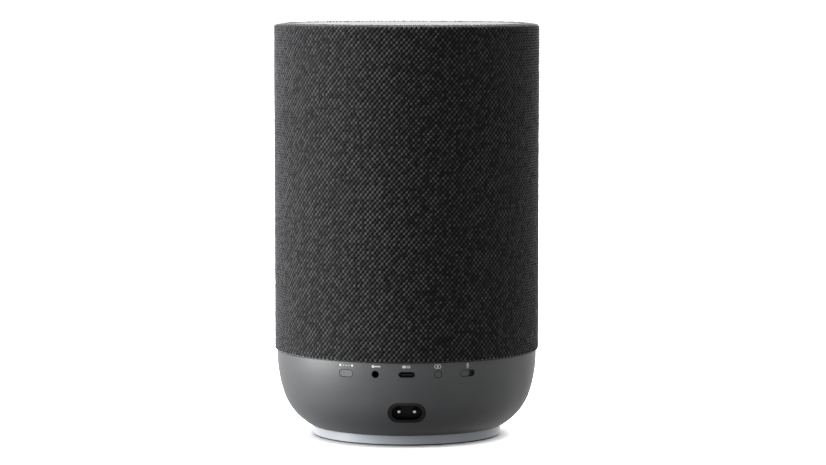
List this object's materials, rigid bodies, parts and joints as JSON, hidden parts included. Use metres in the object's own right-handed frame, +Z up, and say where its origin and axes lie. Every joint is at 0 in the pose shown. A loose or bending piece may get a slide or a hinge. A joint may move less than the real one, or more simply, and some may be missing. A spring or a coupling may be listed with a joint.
{
  "type": "smart speaker",
  "caption": "Upright cylindrical smart speaker with a woven sleeve, a bowl-shaped plastic base, touch top, rear sockets and controls, and a mains inlet.",
  "frame": {"origin": "on the table, at the centre of the foot", "axes": "+Z up along the body, the drivers face -Y, the sockets and controls face +Y, +X is the speaker's left seen from the front"},
  "size_m": [0.148, 0.148, 0.23],
  "materials": {
    "woven_fabric": "plain two-tone heather weave, matt",
    "base_plastic": "satin moulded ABS, dark grey",
    "ring_plastic": "satin moulded ABS, blue grey",
    "foot_rubber": "matt silicone rubber",
    "panel_plastic": "smooth dark touch surface",
    "black_plastic": "moulded black",
    "plated_steel": "nickel or zinc plated",
    "blackened_steel": "black nickel plated",
    "basket_steel": "black powder coat",
    "circuit_board": "green solder mask",
    "ferrite": "dark sintered ferrite",
    "copper_wire": "enamelled copper winding",
    "capacitor_sleeve": "shrink sleeve",
    "sink_aluminium": "extruded",
    "gasket_foam": "closed-cell foam",
    "surround_rubber": "moulded butyl rubber",
    "cone_paper": "coated paper pulp",
    "spider_cloth": "resin-dipped cloth",
    "dome_silk": "coated silk",
    "lead_jacket": "soft insulation",
    "ribbon_film": "flat ribbon cable",
    "light_diffuser": "milky diffuser"
  },
  "bodies": {
    "root": {"ac_inlet": "black_plastic", "ac_pins": "plated_steel", "aux_jack": "black_plastic", "base_shell": "base_plastic", "board_screws": "plated_steel", "bottom_plate": "plated_steel", "bottom_screws": "plated_steel", "cabinet_body": "black_plastic", "cabinet_lid": "black_plastic", "capacitors": "capacitor_sleeve", "case_screws": "plated_steel", "deck": "black_plastic", "driver_leads": "lead_jacket", "driver_screws": "plated_steel", "fabric_sleeve": "woven_fabric", "foot_ring": "ring_plastic", "grille_core": "black_plastic", "heat_sink": "sink_aluminium", "io_board": "circuit_board", "lid_gasket": "gasket_foam", "light_guide": "light_diffuser", "main_board": "circuit_board", "mains_leads": "lead_jacket", "mic_gaskets": "gasket_foam", "mic_switch": "black_plastic", "power_board": "circuit_board", "push_switches": "black_plastic", "ribbon_cable": "ribbon_film", "rubber_foot": "foot_rubber", "shield_can": "plated_steel", "top_frame": "black_plastic", "top_panel": "panel_plastic", "touch_board": "circuit_board", "transformer_core": "ferrite", "transformer_winding": "copper_wire", "tweeter_left_frame": "black_plastic", "tweeter_left_magnet": "ferrite", "tweeter_right_frame": "black_plastic", "tweeter_right_magnet": "ferrite", "usb_shell": "blackened_steel", "usb_tongue": "black_plastic", "woofer_basket": "basket_steel", "woofer_gasket": "gasket_foam", "woofer_magnet": "ferrite", "woofer_spider": "spider_cloth", "woofer_surround": "surround_rubber", "woofer_top_plate": "plated_steel", "woofer_yoke": "plated_steel"},
    "connect_button": {"connect_button": "base_plastic", "connect_plunger": "black_plastic"},
    "pair_button": {"pair_button": "base_plastic", "pair_plunger": "black_plastic"},
    "mic_slider": {"mic_slider": "base_plastic", "mic_lever": "black_plastic"},
    "woofer_cone": {"woofer_cone": "cone_paper", "woofer_dust_cap": "cone_paper", "woofer_coil": "copper_wire"},
    "tweeter_left_dome": {"tweeter_left_dome": "dome_silk"},
    "tweeter_right_dome": {"tweeter_right_dome": "dome_silk"}
  },
  "joints": [
    {"name": "connect_press", "type": "slide", "parent": "root", "child": "connect_button", "axis": [-0.4555, -0.8902, 0], "range_m": [0, 0.0006], "stiffness_N_per_m": 1500},
    {"name": "pair_press", "type": "slide", "parent": "root", "child": "pair_button", "axis": [0.2351, -0.972, 0], "range_m": [0, 0.0006], "stiffness_N_per_m": 1500},
    {"name": "mic_mute_slide", "type": "slide", "parent": "root", "child": "mic_slider", "axis": [-0.8902, -0.4555, 0], "range_m": [0, 0.003]},
    {"name": "woofer_excursion", "type": "slide", "parent": "root", "child": "woofer_cone", "axis": [0, -1, 0], "range_m": [-0.004, 0.004], "stiffness_N_per_m": 900, "deforming": ["woofer_surround", "woofer_spider"]},
    {"name": "tweeter_left_excursion", "type": "slide", "parent": "root", "child": "tweeter_left_dome", "axis": [0, -1, 0], "range_m": [-0.0003, 0.0003], "stiffness_N_per_m": 100},
    {"name": "tweeter_right_excursion", "type": "slide", "parent": "root", "child": "tweeter_right_dome", "axis": [0, -1, 0], "range_m": [-0.0003, 0.0003], "stiffness_N_per_m": 100}
  ]
}
